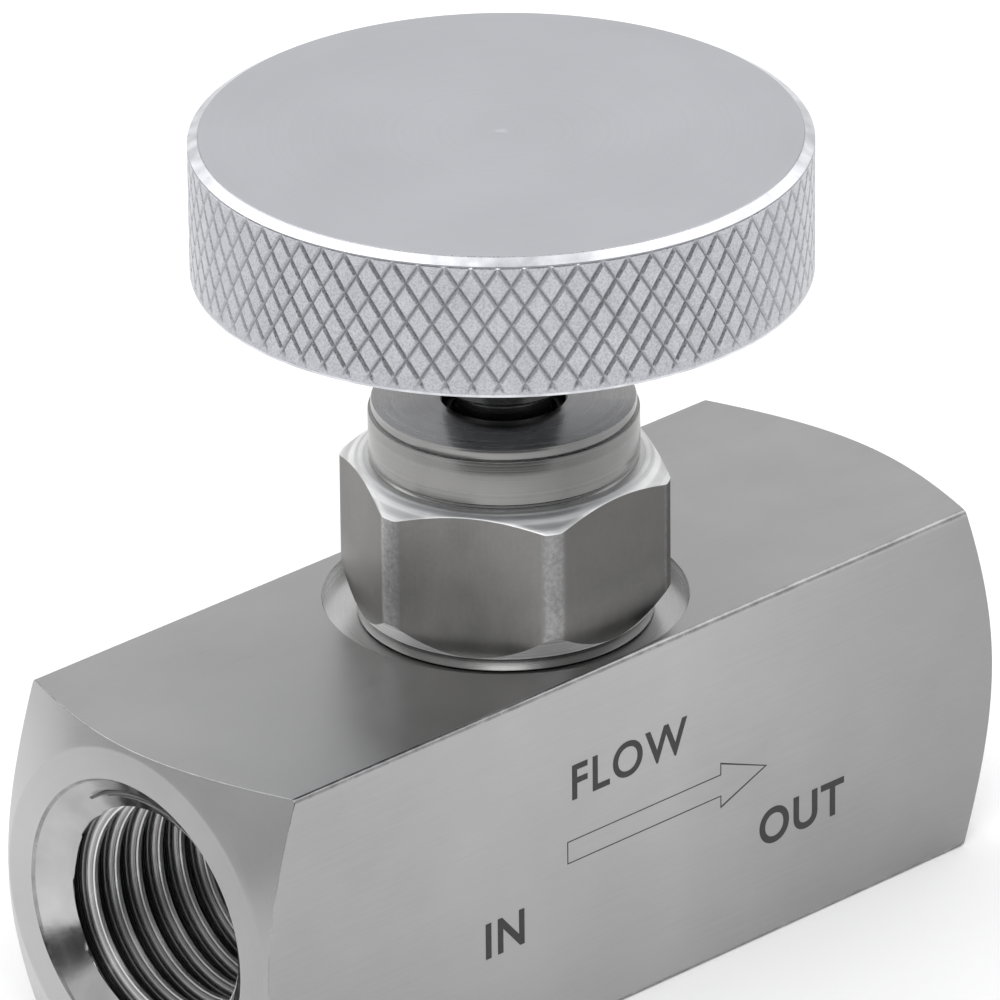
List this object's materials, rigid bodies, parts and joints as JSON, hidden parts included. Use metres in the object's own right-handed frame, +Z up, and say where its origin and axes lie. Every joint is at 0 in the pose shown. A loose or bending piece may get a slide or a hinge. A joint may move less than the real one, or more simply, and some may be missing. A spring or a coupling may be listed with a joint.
{
  "type": "needle valve",
  "caption": "Inline needle valve: a square bar body with a threaded pipe port at each end, a hexagonal bonnet, and a knurled knob that turns and lifts the needle.",
  "frame": {"origin": "middle of the body's underside, straight below the stem", "axes": "+X along the flow from inlet to outlet, +Z up along the stem towards the knob, +Y across the body"},
  "size_m": [0.0508, 0.031, 0.0443],
  "materials": {
    "body_steel": "satin milled bar with turned ends",
    "bonnet_steel": "fine turned",
    "stem_steel": "ground",
    "knob_aluminium": "satin, knurled rim",
    "copper": "soft copper",
    "screw_steel": "black oxide",
    "rubber": "matt black",
    "white_plastic": "smooth",
    "seat_plastic": "smooth"
  },
  "bodies": {
    "valve": {"valve_body": "body_steel", "seat_insert": "seat_plastic", "bonnet": "bonnet_steel", "bonnet_gasket": "copper", "bonnet_o_ring": "rubber", "stem_wiper": "rubber"},
    "needle_carriage": {"needle": "stem_steel", "thrust_ball": "stem_steel"},
    "spindle": {"stem": "stem_steel", "stem_o_ring": "rubber", "stem_backup_ring_lower": "white_plastic", "stem_backup_ring_upper": "white_plastic", "needle_retaining_ring": "screw_steel", "knob": "knob_aluminium", "knob_set_screw_rear": "screw_steel", "knob_set_screw_side": "screw_steel"}
  },
  "joints": [
    {"name": "stem_lift", "type": "slide", "parent": "valve", "child": "needle_carriage", "axis": [0, 0, 1], "range_m": [0, 0.003]},
    {"name": "knob_turn", "type": "hinge", "parent": "needle_carriage", "child": "spindle", "pos_m": [0, 0, 0.0405], "axis": [0, 0, 1], "range_deg": [0, 1080]}
  ],
  "couplings": [
    {"joint": "stem_lift", "follows": "knob_turn", "m_per_rad": 0.00015915}
  ]
}
